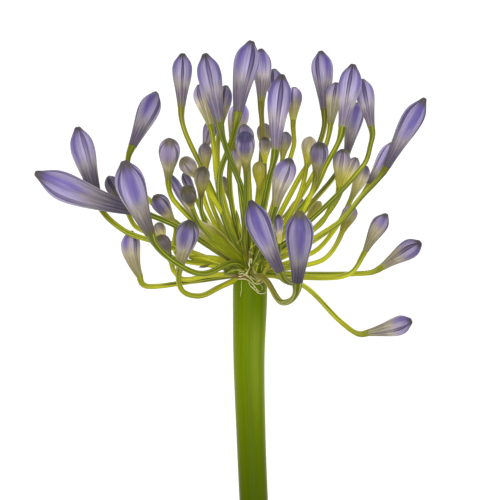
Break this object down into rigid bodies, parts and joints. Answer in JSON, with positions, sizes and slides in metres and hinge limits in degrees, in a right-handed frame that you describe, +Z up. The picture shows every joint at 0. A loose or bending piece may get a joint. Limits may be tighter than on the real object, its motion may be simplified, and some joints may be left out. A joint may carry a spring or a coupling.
{
  "type": "agapanthus flower head",
  "caption": "Rounded head of closed blue-lilac and greenish buds on thin arching green stalks, at the end of a thick cut stem, lying on its side.",
  "frame": {"origin": "on the surface that the flower lies on, below the centre of its box", "axes": "+Z up off the surface, +Y along the stem from its cut end towards the buds, +X to the right as the head is looked down on"},
  "size_m": [0.1556, 0.2106, 0.1069],
  "materials": {
    "stem_green": "satin",
    "bud_ripe": "satin",
    "bud_turning": "satin",
    "bud_young": "satin"
  },
  "bodies": {
    "root": {"scape_with_pedicels": "stem_green", "bud_01": "bud_ripe", "bud_02": "bud_ripe", "bud_03": "bud_turning", "bud_04": "bud_ripe", "bud_05": "bud_turning", "bud_06": "bud_ripe", "bud_07": "bud_ripe", "bud_08": "bud_ripe", "bud_09": "bud_turning", "bud_10": "bud_turning", "bud_11": "bud_ripe", "bud_12": "bud_ripe", "bud_13": "bud_ripe", "bud_14": "bud_ripe", "bud_15": "bud_turning", "bud_16": "bud_young", "bud_17": "bud_young", "bud_18": "bud_turning", "bud_19": "bud_turning", "bud_20": "bud_turning", "bud_21": "bud_young", "bud_22": "bud_young", "bud_23": "bud_young", "bud_24": "bud_young", "bud_25": "bud_turning", "bud_26": "bud_turning", "bud_27": "bud_turning", "bud_28": "bud_young", "bud_29": "bud_young", "bud_30": "bud_turning", "bud_31": "bud_young", "bud_32": "bud_young", "bud_33": "bud_ripe", "bud_34": "bud_turning", "bud_35": "bud_ripe", "bud_36": "bud_ripe", "bud_37": "bud_ripe", "bud_38": "bud_ripe", "bud_39": "bud_ripe", "bud_40": "bud_young", "bud_41": "bud_young", "bud_42": "bud_young", "bud_43": "bud_ripe", "bud_44": "bud_ripe", "bud_45": "bud_ripe", "bud_46": "bud_turning", "bud_47": "bud_turning", "bud_48": "bud_turning", "bud_49": "bud_ripe", "bud_50": "bud_ripe", "bud_51": "bud_young", "bud_52": "bud_young", "bud_53": "bud_young", "bud_54": "bud_young", "bud_55": "bud_young", "bud_56": "bud_young", "bud_57": "bud_young", "bud_58": "bud_young"}
  },
  "joints": []
}
